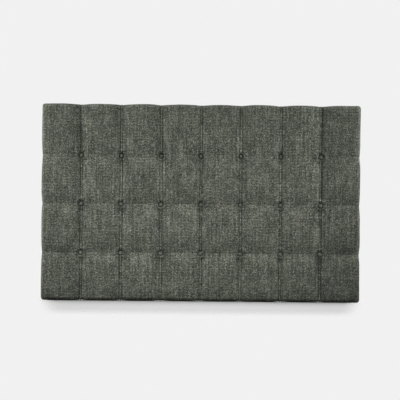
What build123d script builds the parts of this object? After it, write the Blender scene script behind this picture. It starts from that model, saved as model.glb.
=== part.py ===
"""Wall-hung upholstered headboard with a grid of sewn, buttoned panels, in millimetres.

The origin is the middle of the wall rail's row of screw holes, in the plane of the wall. X runs along the
headboard, Z is up and the front faces -Y. A depth is a distance from the wall, so it is an offset of
Plane.XZ, whose normal points out of the front.
"""

import os
from math import cos, hypot, radians, sin

from build123d import *

os.makedirs("parts", exist_ok=True)

# The panels of the cover, as they are seen from the front
column_count = 8
column_pitch = 200
bottom_row_height = 240
lower_middle_row_height = 245
upper_middle_row_height = 243
top_row_height = 260
row_heights = (bottom_row_height, lower_middle_row_height, upper_middle_row_height, top_row_height)

# Two rails of one Z section, hooked into each other, hold the headboard a little off the wall
rail_wall = 3
rail_clearance = 0.3
rail_flange_height = 24
rail_hook_height = 12
rail_hook_clearance = 0.5
hanging_rail_length = 1100
wall_rail_length = 1000

# Screws: the wall rail's holes are for the wall's own screws, the others are pan heads
wall_screw_count = 4
wall_screw_spacing = 300
wall_screw_hole_radius = 2.75
wall_screw_above_flange_end = 11
hanging_screw_count = 5
hanging_screw_spacing = 250
hanging_screw_above_web = 11
screw_shank_radius = 2.1
screw_length = 19
screw_head_radius = 4.2
screw_head_height = 2.6
screw_head_chamfer = 1.4
screw_hole_clearance = 0.3
screw_sides = 12

# The dust cover over the back, and the cover's return under its edge
dust_cover_thickness = 0.8
dust_cover_overlap = 14
return_width = 45
rail_below_return = 12

# Timber frame and face board
frame_thickness = 22
top_rail_width = 110
bottom_rail_width = 70
stile_width = 70
upright_width = 70
upright_spacing = 600
board_thickness = 9
twine_hole_radius = 3

# Soft layers over the board
foam_thickness = 36
wadding_thickness = 4
wadding_wrap = 5
wadding_edge = 8
cover_thickness = 1.2
layer_gap = 0.4
edge_slack = 1.6

# The shape that tufting gives the cover: how far the middle of a seam, of a pleat and of a panel stands out
# from the buttoned crossings, and how far seams and pleats draw the outline in
seam_rise = 6
pleat_rise = 9
crown_rise = 17
edge_radius = 18
edge_below_crown = 3
top_scallop = 5
side_scallop = 4
corner_drop = 6

# Pads of wadding under the crown of each panel, as shares of the panel and of the crown
pad_foot_share = 0.9
pad_top_share = 0.4
pad_rise_share = 0.6

# Covered buttons, with the twine that pulls each one in and the toggle that it is tied to
button_radius = 11
button_height = 5
button_slope_width = 5.5
button_slope_height = 3.4
button_sides = 16
twine_radius = 1.2
twine_sides = 6
twine_clearance = 0.3
toggle_length = 26
toggle_width = 8
toggle_tip = 2.5
toggle_thickness = 4

# Staples: one wire bent square, with a leg length for each use
staple_crown = 11
staple_wire = 1
frame_staple_leg = 17
frame_staple_spacing = 34
board_staple_leg = 20
board_staple_pitch = 350
cover_staple_leg = 9
cover_staple_from_edge = 22
cover_staple_pitch = 180
dust_staple_leg = 8
dust_staple_from_edge = 38
dust_staple_pitch = 200

# Bumpers that keep the lower edge as far off the wall as the rails keep the upper one
bumper_radius = 14
bumper_foot_radius = 11
bumper_recess_radius = 5.5
bumper_recess_depth = 3.4
bumper_spacing = 1300
bumper_from_return = 3

# Depths, worked out layer by layer from the wall
standoff = 2 * rail_wall + 3 * rail_clearance
frame_back = standoff + dust_cover_thickness
return_back = frame_back - cover_thickness
frame_front = frame_back + frame_thickness
board_front = frame_front + board_thickness
foam_front = board_front + foam_thickness
wadding_front = foam_front + layer_gap + wadding_thickness
crossing_front = wadding_front + layer_gap + cover_thickness
crown_front = crossing_front + crown_rise

# Heights of the hooked pair: the hanging rail's web rests on the tip of the wall rail's hook
wall_flange_end = -wall_screw_above_flange_end
wall_web_top = wall_flange_end + rail_flange_height
hook_rest = wall_web_top + rail_hook_height
hanging_web_top = hook_rest + rail_wall
hanging_flange_end = hook_rest + rail_flange_height
hanging_screw_height = hanging_web_top + hanging_screw_above_web
wall_hook_back = rail_wall + 2 * rail_clearance
wall_hook_front = wall_hook_back + rail_wall
hanging_hook_front = rail_clearance + rail_wall
hanging_flange_back = standoff - rail_wall
wall_screw_places = [(i - (wall_screw_count - 1) / 2) * wall_screw_spacing for i in range(wall_screw_count)]
hanging_screw_places = [
    (i - (hanging_screw_count - 1) / 2) * hanging_screw_spacing for i in range(hanging_screw_count)
]

# Outline of the whole headboard
panel_width = column_pitch * column_count
panel_height = sum(row_heights)
half_width = panel_width / 2
panel_top = hanging_flange_end + rail_below_return + return_width
panel_bottom = panel_top - panel_height
panel_middle = (panel_top + panel_bottom) / 2
row_lines = [panel_bottom + sum(row_heights[:row]) for row in range(len(row_heights) + 1)]
column_lines = [column * column_pitch - half_width for column in range(column_count + 1)]
edge_line = half_width - edge_radius
low_edge, high_edge = panel_bottom + edge_radius, panel_top - edge_radius
column_spans = [(max(x, -edge_line), min(x + column_pitch, edge_line)) for x in column_lines[:-1]]
row_spans = [(max(below, low_edge), min(above, high_edge)) for below, above in zip(row_lines, row_lines[1:])]
tuft_rows = row_lines[1:-1]
tuft_columns = column_lines[1:-1]
tufts = [(x, z) for z in tuft_rows for x in tuft_columns]

# Outline of the frame and the board: the soft layers go round it
frame_width = panel_width - 2 * (side_scallop + cover_thickness + edge_slack + wadding_wrap + layer_gap)
frame_height = panel_height - 2 * (top_scallop + cover_thickness + edge_slack + wadding_wrap + layer_gap)
frame_top = panel_middle + frame_height / 2
frame_bottom = panel_middle - frame_height / 2
top_rail_middle = frame_top - top_rail_width / 2
bottom_rail_middle = frame_bottom + bottom_rail_width / 2
stile_middle = frame_width / 2 - stile_width / 2
upright_middle = upright_spacing / 2
lap_thickness = frame_thickness / 2
lap_plane = frame_back + lap_thickness

# Wall rail: the flange lies on the wall, and its hook points up with a slot behind it
with BuildPart() as wall_rail:
    with BuildSketch(Plane.YZ):
        with BuildLine():
            Polyline(
                (0, wall_flange_end),
                (-rail_wall, wall_flange_end),
                (-rail_wall, wall_web_top - rail_wall),
                (-wall_hook_front, wall_web_top - rail_wall),
                (-wall_hook_front, hook_rest),
                (-wall_hook_back, hook_rest),
                (-wall_hook_back, wall_web_top),
                (0, wall_web_top),
                close=True,
            )
        make_face()
    extrude(amount=wall_rail_length / 2, both=True)
    with BuildSketch(Plane.XZ):
        with Locations(*[(x, 0) for x in wall_screw_places]):
            Circle(wall_screw_hole_radius)
    extrude(amount=rail_wall, mode=Mode.SUBTRACT)
wall_rail.part.label = "wall_rail"
export_step(wall_rail.part, "parts/wall_rail.step")

# Hanging rail: the same section turned over, with its flange on the back of the frame
with BuildPart() as hanging_rail:
    with BuildSketch(Plane.YZ):
        with BuildLine():
            Polyline(
                (-standoff, hanging_flange_end),
                (-hanging_flange_back, hanging_flange_end),
                (-hanging_flange_back, hanging_web_top),
                (-rail_clearance, hanging_web_top),
                (-rail_clearance, wall_web_top + rail_hook_clearance),
                (-hanging_hook_front, wall_web_top + rail_hook_clearance),
                (-hanging_hook_front, hook_rest),
                (-standoff, hook_rest),
                close=True,
            )
        make_face()
    extrude(amount=hanging_rail_length / 2, both=True)
    with BuildSketch(Plane.XZ.offset(hanging_flange_back)):
        with Locations(*[(x, hanging_screw_height) for x in hanging_screw_places]):
            Circle(screw_shank_radius + screw_hole_clearance)
    extrude(amount=rail_wall, mode=Mode.SUBTRACT)
hanging_rail.part.label = "hanging_rail"
export_step(hanging_rail.part, "parts/hanging_rail.step")


def make_pan_screws(places, under_head):
    """Pan-head screws along -Y, headed on the wall's side. Under_head is the depth of the heads' seats."""
    with BuildPart() as screws:
        with BuildSketch(Plane.XZ.offset(under_head - screw_head_height)):
            with Locations(*places):
                RegularPolygon(screw_head_radius, screw_sides)
        extrude(amount=screw_head_height)
        chamfer(screws.faces().group_by(Axis.Y)[-1].edges(), length=screw_head_chamfer)
        with BuildSketch(Plane.XZ.offset(under_head)):
            with Locations(*places):
                RegularPolygon(screw_shank_radius, screw_sides)
        extrude(amount=screw_length)
    return screws.part


with BuildPart() as hanging_rail_screws:
    add(make_pan_screws([(x, hanging_screw_height) for x in hanging_screw_places], hanging_flange_back))
hanging_rail_screws.part.label = "hanging_rail_screws"
export_step(hanging_rail_screws.part, "parts/hanging_rail_screws.step")

# Rails of the frame: the front half is cut away at the ends and where the uprights cross, for half laps
frame_rails = {
    "frame_top_rail": (top_rail_middle, top_rail_width),
    "frame_bottom_rail": (bottom_rail_middle, bottom_rail_width),
}
for rail_name, (rail_middle, rail_width) in frame_rails.items():
    with BuildPart() as frame_rail:
        with BuildSketch(Plane.XZ.offset(frame_back)):
            with Locations((0, rail_middle)):
                Rectangle(frame_width, rail_width)
        extrude(amount=frame_thickness)
        with BuildSketch(Plane.XZ.offset(lap_plane)):
            with Locations((-stile_middle, rail_middle), (stile_middle, rail_middle)):
                Rectangle(stile_width, rail_width)
            with Locations((-upright_middle, rail_middle), (upright_middle, rail_middle)):
                Rectangle(upright_width, rail_width)
        extrude(amount=lap_thickness, mode=Mode.SUBTRACT)
    frame_rail.part.label = rail_name
    export_step(frame_rail.part, f"parts/{rail_name}.step")

# Stiles and uprights: the back half is cut away at both ends, to lie in the rails' laps
frame_posts = {
    "frame_left_stile": (-stile_middle, stile_width),
    "frame_left_upright": (-upright_middle, upright_width),
    "frame_right_upright": (upright_middle, upright_width),
    "frame_right_stile": (stile_middle, stile_width),
}
for post_name, (post_middle, post_width) in frame_posts.items():
    with BuildPart() as frame_post:
        with BuildSketch(Plane.XZ.offset(frame_back)):
            with Locations((post_middle, panel_middle)):
                Rectangle(post_width, frame_height)
        extrude(amount=frame_thickness)
        with BuildSketch(Plane.XZ.offset(frame_back)):
            with Locations((post_middle, top_rail_middle)):
                Rectangle(post_width, top_rail_width)
            with Locations((post_middle, bottom_rail_middle)):
                Rectangle(post_width, bottom_rail_width)
        extrude(amount=lap_thickness, mode=Mode.SUBTRACT)
    frame_post.part.label = post_name
    export_step(frame_post.part, f"parts/{post_name}.step")

# Face board, with a hole for each twine that has the twine's own number of sides
with BuildPart() as face_board:
    with BuildSketch(Plane.XZ.offset(frame_front)):
        with Locations((0, panel_middle)):
            Rectangle(frame_width, frame_height)
        with Locations(*tufts):
            RegularPolygon(twine_hole_radius, twine_sides, mode=Mode.SUBTRACT)
    extrude(amount=board_thickness)
face_board.part.label = "face_board"
export_step(face_board.part, "parts/face_board.step")

# Foam pad: a flat block under the tufted layers, pierced for the twines
twine_slit_radius = twine_radius + twine_clearance
with BuildPart() as foam_pad:
    with BuildSketch(Plane.XZ.offset(board_front)):
        with Locations((0, panel_middle)):
            Rectangle(frame_width, frame_height)
        with Locations(*tufts):
            RegularPolygon(twine_slit_radius, twine_sides, mode=Mode.SUBTRACT)
    extrude(amount=foam_thickness)
foam_pad.part.label = "foam_pad"
export_step(foam_pad.part, "parts/foam_pad.step")

# Wadding: a layer over the foam that wraps the sides, with a soft pad under the crown of each panel
wadding_width = frame_width + 2 * (layer_gap + wadding_wrap)
wadding_height = frame_height + 2 * (layer_gap + wadding_wrap)
wadding_back = frame_back + layer_gap
pad_rise = crown_rise * pad_rise_share
with BuildPart() as wadding:
    with BuildSketch(Plane.XZ.offset(wadding_back)):
        with Locations((0, panel_middle)):
            Rectangle(wadding_width, wadding_height)
    extrude(amount=wadding_front - wadding_back)
    chamfer(wadding.faces().sort_by(Axis.Y)[0].edges(), length=wadding_edge)
    with BuildSketch(Plane.XZ.offset(wadding_back)):
        with Locations((0, panel_middle)):
            Rectangle(frame_width + 2 * layer_gap, frame_height + 2 * layer_gap)
    extrude(amount=foam_front + layer_gap - wadding_back, mode=Mode.SUBTRACT)
    for below, above in row_spans:
        for left, right in column_spans:
            foot_width, foot_height = (right - left) * pad_foot_share, (above - below) * pad_foot_share
            slope_width = (right - left) * (pad_foot_share - pad_top_share) / 2
            slope_height = (above - below) * (pad_foot_share - pad_top_share) / 2
            with Locations(((left + right) / 2, -wadding_front - pad_rise / 2, (below + above) / 2)):
                Wedge(
                    foot_width,
                    pad_rise,
                    foot_height,
                    slope_width,
                    slope_height,
                    foot_width - slope_width,
                    foot_height - slope_height,
                    rotation=(0, 0, 180),
                )
    with BuildSketch(Plane.XZ.offset(foam_front)):
        with Locations(*tufts):
            RegularPolygon(twine_slit_radius, twine_sides)
    extrude(amount=crown_rise, mode=Mode.SUBTRACT)
wadding.part.label = "wadding"
export_step(wadding.part, "parts/wadding.step")

# The cover's crowned panels. Each column is lofted through upright sections, from seam to seam. A section
# has one arc for each panel, which starts and ends at the pleats, and a rounded edge at the top and bottom.
crown_shares = (0, 0.25, 0.5, 0.75, 1)
edge_crown_share = 0.75
edge_angles = (0, 30, 60, 90)


def crown_share_at(share):
    """How much of the crown a column has at a share of its width: none at the seams, all of it midway."""
    return 4 * share * (1 - share)


def cover_section(x, crown_share, inset, back, edge_angle=0):
    """Upright section of the cover, inset from its outer face, with its ends turned back by edge_angle."""
    turned_back = 1 - cos(radians(edge_angle))
    radius = edge_radius - inset
    recess = inset + radius * turned_back
    pleat = crossing_front + pleat_rise * crown_share - recess
    crown = crossing_front + seam_rise + (crown_rise - seam_rise) * crown_share - recess
    rim = crown - edge_below_crown
    drawn_in = inset + top_scallop * (1 - crown_share) + corner_drop * turned_back
    low, high = panel_bottom + drawn_in, panel_top - drawn_in
    round_middle = radius * (1 - cos(radians(45)))
    panel_ends = [(rim, low + radius)] + [(pleat, z) for z in tuft_rows] + [(rim, high - radius)]
    with BuildSketch(Plane.YZ.offset(x)) as section:
        with BuildLine():
            Line((-back, low), (radius - rim, low))
            ThreePointArc(
                (radius - rim, low), (round_middle - rim, low + round_middle), (-rim, low + radius)
            )
            for (depth_below, z_below), (depth_above, z_above) in zip(panel_ends, panel_ends[1:]):
                ThreePointArc(
                    (-depth_below, z_below), (-crown, (z_below + z_above) / 2), (-depth_above, z_above)
                )
            ThreePointArc(
                (-rim, high - radius), (round_middle - rim, high - round_middle), (radius - rim, high)
            )
            Polyline((radius - rim, high), (-back, high), (-back, low))
        make_face()
    return section.sketch


def cover_form(inset, back):
    """The whole cover as a closed form, from a back plane to its crowned front, inset from its outer face."""
    radius = edge_radius - inset
    with BuildPart() as form:
        for start, end in column_spans:
            sections = []
            for share in crown_shares:
                crown_share = crown_share_at(share)
                if (start == -edge_line and share < 0.5) or (end == edge_line and share > 0.5):
                    crown_share = edge_crown_share + (1 - edge_crown_share) * crown_share
                sections.append(cover_section(start + share * (end - start), crown_share, inset, back))
            loft(sections, ruled=True, clean=False)
        for side in (-1, 1):
            sections = []
            for angle in edge_angles:
                edge_x = side * (edge_line + radius * sin(radians(angle)))
                sections.append(cover_section(edge_x, edge_crown_share, inset, back, angle))
            loft(sections, ruled=True, clean=False)
        outer_x = half_width - inset
        notch_x = outer_x - side_scallop
        with BuildSketch(Plane.XZ):
            with BuildLine():
                Line((-notch_x, panel_bottom), (notch_x, panel_bottom))
                for below, above in zip(row_lines, row_lines[1:]):
                    for side in (-1, 1):
                        ThreePointArc(
                            (side * notch_x, below),
                            (side * outer_x, (below + above) / 2),
                            (side * notch_x, above),
                        )
                Line((-notch_x, panel_top), (notch_x, panel_top))
            make_face()
        extrude(amount=crown_front, mode=Mode.INTERSECT)
    return form.part


# Front cover: a sewn shell with an even thickness, returned over the back of the frame all round
with BuildPart() as front_cover:
    add(cover_form(0, return_back))
    add(cover_form(cover_thickness, frame_back), mode=Mode.SUBTRACT)
    with BuildSketch(Plane.XZ.offset(return_back)):
        with Locations((0, panel_middle)):
            Rectangle(panel_width - 2 * return_width, panel_height - 2 * return_width)
    extrude(amount=cover_thickness, mode=Mode.SUBTRACT)
    with BuildSketch(Plane.XZ.offset(wadding_front)):
        with Locations(*tufts):
            RegularPolygon(twine_slit_radius, twine_sides)
    extrude(amount=crown_rise, mode=Mode.SUBTRACT)
front_cover.part.label = "front_cover"
export_step(front_cover.part, "parts/front_cover.step")

# Covered buttons: each base clears the folds that rise from its crossing
pleat_slope = pleat_rise * crown_share_at(crown_shares[1]) / (column_pitch * crown_shares[1])
seam_slope = 4 * seam_rise / min(row_heights)
button_base = crossing_front + button_radius * hypot(pleat_slope, seam_slope) + layer_gap
with BuildPart() as button:
    with BuildSketch(Plane.XZ.offset(button_base)):
        RegularPolygon(button_radius, button_sides)
    extrude(amount=button_height)
    button_front = button.faces().sort_by(Axis.Y)[0]
    chamfer(
        button_front.edges(), length=button_slope_width, length2=button_slope_height, reference=button_front
    )
button_rows = dict(zip(("bottom_buttons", "middle_buttons", "top_buttons"), tuft_rows))
for button_name, button_z in button_rows.items():
    with BuildPart() as buttons:
        with Locations(*[(x, 0, button_z) for x in tuft_columns]):
            add(button.part)
    buttons.part.label = button_name
    export_step(buttons.part, f"parts/{button_name}.step")

# Tufting twines: each runs from a button's base to the back of the face board
with BuildPart() as tufting_twines:
    with BuildSketch(Plane.XZ.offset(frame_front)):
        with Locations(*tufts):
            RegularPolygon(twine_radius, twine_sides)
    extrude(amount=button_base - frame_front)
tufting_twines.part.label = "tufting_twines"
export_step(tufting_twines.part, "parts/tufting_twines.step")

# Toggles: the bar behind the board that each twine is tied round, with pointed ends
with BuildPart() as twine_toggles:
    with BuildSketch(Plane.XZ.offset(frame_front - toggle_thickness)):
        with Locations(*tufts):
            Polygon(
                (-toggle_length / 2, -toggle_tip),
                (-toggle_length / 2 + toggle_tip, -toggle_width / 2),
                (toggle_length / 2 - toggle_tip, -toggle_width / 2),
                (toggle_length / 2, -toggle_tip),
                (toggle_length / 2, toggle_tip),
                (toggle_length / 2 - toggle_tip, toggle_width / 2),
                (-toggle_length / 2 + toggle_tip, toggle_width / 2),
                (-toggle_length / 2, toggle_tip),
                align=None,
            )
    extrude(amount=toggle_thickness)
twine_toggles.part.label = "twine_toggles"
export_step(twine_toggles.part, "parts/twine_toggles.step")

# Dust cover: a cloth drawn flat over the frame, which steps up onto the cover's return
return_half_width = half_width - return_width
return_half_height = panel_height / 2 - return_width
flat_half_width = return_half_width - layer_gap
flat_half_height = return_half_height - layer_gap
dust_edge_back = return_back - dust_cover_thickness
with BuildPart() as dust_cover:
    with BuildSketch(Plane.XZ.offset(dust_edge_back)):
        with Locations((0, panel_middle)):
            Rectangle(
                2 * (return_half_width + dust_cover_overlap), 2 * (return_half_height + dust_cover_overlap)
            )
    extrude(amount=dust_cover_thickness)
    with BuildSketch(Plane.XZ.offset(dust_edge_back)):
        with Locations((0, panel_middle)):
            Rectangle(2 * flat_half_width, 2 * flat_half_height)
    extrude(amount=frame_back - dust_edge_back)
    with BuildSketch(Plane.XZ.offset(dust_edge_back)):
        with Locations((0, panel_middle)):
            Rectangle(
                2 * (flat_half_width - dust_cover_thickness), 2 * (flat_half_height - dust_cover_thickness)
            )
    extrude(amount=standoff - dust_edge_back, mode=Mode.SUBTRACT)
dust_cover.part.label = "dust_cover"
export_step(dust_cover.part, "parts/dust_cover.step")


def staple_outline(leg):
    """A staple seen along its wire: the crown lies on the X axis and the legs point along -Y."""
    half_crown = staple_crown / 2
    return [
        (-half_crown, 0),
        (-half_crown, -leg),
        (staple_wire - half_crown, -leg),
        (staple_wire - half_crown, -staple_wire),
        (half_crown - staple_wire, -staple_wire),
        (half_crown - staple_wire, -leg),
        (half_crown, -leg),
        (half_crown, 0),
    ]


def spread(half_length, pitch):
    """Evenly spaced places along a line, symmetric about its middle."""
    count = int(2 * half_length // pitch) + 1
    return [(i - (count - 1) / 2) * pitch for i in range(count)]


def drive_border_staples(leg, crown_depth, from_edge, pitch):
    """A row of staples along each edge of the back, driven from the wall's side, with crowns on the line."""
    across = spread(half_width - 2 * from_edge, pitch)
    upward = spread(panel_height / 2 - 2 * from_edge, pitch)
    with BuildPart() as staples:
        for z in (panel_bottom + from_edge, panel_top - from_edge):
            with BuildSketch(Plane.XY.offset(z)):
                with Locations(*[(x, -crown_depth) for x in across]):
                    Polygon(*staple_outline(leg), align=None)
            extrude(amount=staple_wire / 2, both=True)
        for x in (from_edge - half_width, half_width - from_edge):
            with BuildSketch(Plane.YZ.offset(x)):
                with Locations(*[(-crown_depth, panel_middle + z) for z in upward]):
                    Polygon(*staple_outline(leg), rotation=-90, align=None)
            extrude(amount=staple_wire / 2, both=True)
    return staples.part


# Cover staples hold the return on the frame, and dust cover staples hold the cloth over it
with BuildPart() as cover_staples:
    add(
        drive_border_staples(
            cover_staple_leg, return_back - staple_wire, cover_staple_from_edge, cover_staple_pitch
        )
    )
cover_staples.part.label = "cover_staples"
export_step(cover_staples.part, "parts/cover_staples.step")

with BuildPart() as dust_cover_staples:
    add(
        drive_border_staples(
            dust_staple_leg, dust_edge_back - staple_wire, dust_staple_from_edge, dust_staple_pitch
        )
    )
dust_cover_staples.part.label = "dust_cover_staples"
export_step(dust_cover_staples.part, "parts/dust_cover_staples.step")

# Frame staples: two through each half lap, driven from the front
with BuildPart() as frame_staples:
    for z in (top_rail_middle, bottom_rail_middle):
        for offset_z in (-frame_staple_spacing / 2, frame_staple_spacing / 2):
            with BuildSketch(Plane.XY.offset(z + offset_z)):
                with Locations(*[(x, -frame_front) for x, _ in frame_posts.values()]):
                    Polygon(*staple_outline(frame_staple_leg), rotation=180, align=None)
            extrude(amount=staple_wire / 2, both=True)
frame_staples.part.label = "frame_staples"
export_step(frame_staples.part, "parts/frame_staples.step")

# Board staples: along the rails and down the stiles and uprights, driven through the face board
board_staple_columns = spread(stile_middle, board_staple_pitch)
board_staple_rows = [panel_middle + z for z in spread(frame_height / 2 - top_rail_width, board_staple_pitch)]
with BuildPart() as board_staples:
    for z in (top_rail_middle, bottom_rail_middle):
        with BuildSketch(Plane.XY.offset(z)):
            with Locations(*[(x, -board_front) for x in board_staple_columns]):
                Polygon(*staple_outline(board_staple_leg), rotation=180, align=None)
        extrude(amount=staple_wire / 2, both=True)
    for x, _ in frame_posts.values():
        with BuildSketch(Plane.YZ.offset(x)):
            with Locations(*[(-board_front, z) for z in board_staple_rows]):
                Polygon(*staple_outline(board_staple_leg), rotation=90, align=None)
        extrude(amount=staple_wire / 2, both=True)
board_staples.part.label = "board_staples"
export_step(board_staples.part, "parts/board_staples.step")

# Wall bumpers: two tapered pads with a recess for the screw that holds each to the bottom rail
bumper_z = panel_bottom + return_width + bumper_from_return + bumper_radius
bumper_hole_radius = screw_shank_radius + screw_hole_clearance
bumper_columns = (-bumper_spacing / 2, bumper_spacing / 2)
with BuildPart() as wall_bumpers:
    for x in bumper_columns:
        with BuildSketch(Plane.XY.offset(bumper_z)):
            with BuildLine():
                Polyline(
                    (x + bumper_hole_radius, -standoff),
                    (x + bumper_radius, -standoff),
                    (x + bumper_foot_radius, 0),
                    (x + bumper_recess_radius, 0),
                    (x + bumper_recess_radius, -bumper_recess_depth),
                    (x + bumper_hole_radius, -bumper_recess_depth),
                    close=True,
                )
            make_face()
        revolve(axis=Axis((x, 0, bumper_z), (0, 1, 0)))
wall_bumpers.part.label = "wall_bumpers"
export_step(wall_bumpers.part, "parts/wall_bumpers.step")

with BuildPart() as bumper_screws:
    add(make_pan_screws([(x, bumper_z) for x in bumper_columns], bumper_recess_depth))
bumper_screws.part.label = "bumper_screws"
export_step(bumper_screws.part, "parts/bumper_screws.step")
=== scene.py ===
from math import pi, radians, sin

import bpy
import numpy as np
from mathutils import Matrix, Vector, noise


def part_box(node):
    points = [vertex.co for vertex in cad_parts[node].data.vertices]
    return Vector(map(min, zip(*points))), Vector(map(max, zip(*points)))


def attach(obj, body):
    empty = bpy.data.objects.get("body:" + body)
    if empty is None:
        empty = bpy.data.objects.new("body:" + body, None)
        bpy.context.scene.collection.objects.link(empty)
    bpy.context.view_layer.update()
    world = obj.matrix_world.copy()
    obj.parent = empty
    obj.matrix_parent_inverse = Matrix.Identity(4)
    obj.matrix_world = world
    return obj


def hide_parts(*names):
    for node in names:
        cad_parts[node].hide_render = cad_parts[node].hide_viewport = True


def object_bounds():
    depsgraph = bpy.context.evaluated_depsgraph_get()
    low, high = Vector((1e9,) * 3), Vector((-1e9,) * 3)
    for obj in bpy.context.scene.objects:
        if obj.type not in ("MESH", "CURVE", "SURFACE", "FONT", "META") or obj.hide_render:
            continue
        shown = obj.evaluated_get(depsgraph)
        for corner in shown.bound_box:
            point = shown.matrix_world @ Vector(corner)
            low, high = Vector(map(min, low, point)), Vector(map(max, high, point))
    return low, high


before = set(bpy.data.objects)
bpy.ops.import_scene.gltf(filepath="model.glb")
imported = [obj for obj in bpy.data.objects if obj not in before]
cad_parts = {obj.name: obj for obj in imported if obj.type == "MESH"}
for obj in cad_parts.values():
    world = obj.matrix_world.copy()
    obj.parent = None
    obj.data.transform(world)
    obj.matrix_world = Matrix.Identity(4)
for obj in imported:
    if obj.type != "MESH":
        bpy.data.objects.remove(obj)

cad_low, cad_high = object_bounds()

# Timber frame: two rails and four posts of planed softwood, half-lapped where they meet and stapled through
# the laps. They stay as they are built and get their grain here, along X in the rails and Z in the posts.


def new_finish(name):
    """A new material, its node tree and its main shader."""
    material = bpy.data.materials.new(name)
    material.use_nodes = True
    return material, material.node_tree, material.node_tree.nodes["Principled BSDF"]


def fill(tree, node, inputs):
    """Fills a node's inputs with plain values or with the outputs of other nodes."""
    for key, value in inputs.items():
        if isinstance(value, bpy.types.NodeSocket):
            tree.links.new(value, node.inputs[key])
        else:
            node.inputs[key].default_value = value


def place(tree, kind, inputs=None, **settings):
    """Adds a node with its settings and its inputs, and gives back its outputs."""
    node = tree.nodes.new(kind)
    for key, value in settings.items():
        setattr(node, key, value)
    fill(tree, node, inputs or {})
    return node.outputs


def own_place(tree):
    """Where a point is on the piece itself."""
    return place(tree, "ShaderNodeTexCoord")["Object"]


def turned_place(tree, turn):
    """As own_place, turned about the origin."""
    return place(tree, "ShaderNodeMapping", {"Vector": own_place(tree), "Rotation": turn})[0]


def reckon(tree, operation, *values):
    """The result of a sum on numbers."""
    return place(tree, "ShaderNodeMath", dict(enumerate(values)), operation=operation)[0]


def reckon_vector(tree, operation, *values):
    """The result of a sum on vectors or colours."""
    return place(tree, "ShaderNodeVectorMath", dict(enumerate(values)), operation=operation)[0]


def noise_at(tree, where, scale, detail, roughness=0.5, distortion=0.0):
    """A noise texture's outputs."""
    inputs = {
        "Vector": where, "Scale": scale, "Detail": detail, "Roughness": roughness, "Distortion": distortion,
    }
    return place(tree, "ShaderNodeTexNoise", inputs)


def spread(tree, value, from_range=(0, 1), to_range=(0, 1), **settings):
    """A value moved from one range to another, and kept inside it."""
    inputs = dict(zip(("From Min", "From Max", "To Min", "To Max"), (*from_range, *to_range)))
    return place(tree, "ShaderNodeMapRange", {"Value": value, **inputs}, **settings)[0]


def blend(tree, factor, first, second, kind="RGBA", **settings):
    """A blend of two colours or, with the kind FLOAT, of two values."""
    start, result = (6, 2) if kind == "RGBA" else (2, 0)
    inputs = {0: factor, start: first, start + 1: second}
    return place(tree, "ShaderNodeMix", inputs, data_type=kind, **settings)[result]


def relief(tree, height, strength, depth):
    """A surface direction that follows a height, which is depth metres at most."""
    return place(tree, "ShaderNodeBump", {"Height": height, "Strength": strength, "Distance": depth})[0]


def new_group(name, inputs, outputs):
    """A shader node group with named sockets, what it is given, and its output node."""
    group = bpy.data.node_groups.new(name, "ShaderNodeTree")
    for socket_name, kind, value in inputs:
        socket = group.interface.new_socket(socket_name, in_out="INPUT", socket_type=kind)
        if value is not None:
            socket.default_value = value
    for socket_name, kind in outputs:
        group.interface.new_socket(socket_name, in_out="OUTPUT", socket_type=kind)
    return group, group.nodes.new("NodeGroupInput").outputs, group.nodes.new("NodeGroupOutput")


def dress(node_names, material):
    """Gives CAD nodes a material."""
    for name in node_names:
        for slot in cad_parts[name].material_slots:
            slot.material = material


# A group for all the wood: the grain runs along the X axis of its vector
grain, grain_in, grain_out = new_group(
    "wood_grain",
    [
        ("Vector", "NodeSocketVector", None),
        ("Early wood", "NodeSocketColor", (0.5, 0.35, 0.2, 1)),
        ("Late wood", "NodeSocketColor", (0.3, 0.18, 0.1, 1)),
        ("Rings", "NodeSocketFloat", 40.0),
    ],
    [("Color", "NodeSocketColor"), ("Height", "NodeSocketFloat")],
)
along_grain = reckon_vector(grain, "MULTIPLY", grain_in["Vector"], (0.06, 1, 1))
ring_turns = reckon(grain, "MULTIPLY", noise_at(grain, along_grain, 14.0, 3.0)["Fac"], grain_in["Rings"])
ring_share = spread(grain, reckon(grain, "SINE", ring_turns), from_range=(-1, 1))
pores = noise_at(grain, along_grain, 900.0, 2.0)
rings = blend(grain, ring_share, grain_in["Late wood"], grain_in["Early wood"])
pored_wood = blend(grain, 0.35, rings, pores["Color"], blend_type="SOFT_LIGHT")
fill(grain, grain_out, {"Color": pored_wood, "Height": pores["Fac"]})


def wood_on(tree, where, early_wood, late_wood, ring_count):
    """The wood's colour and height in a material."""
    shades = {"Early wood": (*early_wood, 1), "Late wood": (*late_wood, 1)}
    inputs = {"Vector": where, "Rings": ring_count, **shades}
    return place(tree, "ShaderNodeGroup", inputs, node_tree=grain)


for finish_name, turn, members in (
    ("planed_rail", 0, ("frame_top_rail", "frame_bottom_rail")),
    (
        "planed_post", pi / 2,
        ("frame_left_stile", "frame_left_upright", "frame_right_upright", "frame_right_stile"),
    ),
):
    timber, tree, shader = new_finish(finish_name)
    softwood = wood_on(tree, turned_place(tree, (0, turn, 0)), (0.62, 0.43, 0.24), (0.42, 0.25, 0.12), 46)
    planed = relief(tree, softwood["Height"], 0.3, 0.0004)
    fill(tree, shader, {"Base Color": softwood["Color"], "Normal": planed, "Roughness": 0.72})
    dress(members, timber)

# Face board: sanded plywood stapled on the front of the frame, which the foam lies on and the twines pull
# against. Its plies show on its edges as bands across its thickness.
ply_thickness = 0.0013


def colour_ramp(tree, factor, stops):
    """A colour that runs through (place, colour) stops."""
    node = tree.nodes.new("ShaderNodeValToRGB")
    tree.links.new(factor, node.inputs["Fac"])
    while len(node.color_ramp.elements) < len(stops):
        node.color_ramp.elements.new(0.5)
    for element, (where, colour) in zip(node.color_ramp.elements, stops):
        element.position = where
        element.color = (*colour, 1)
    return node.outputs["Color"]


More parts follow.
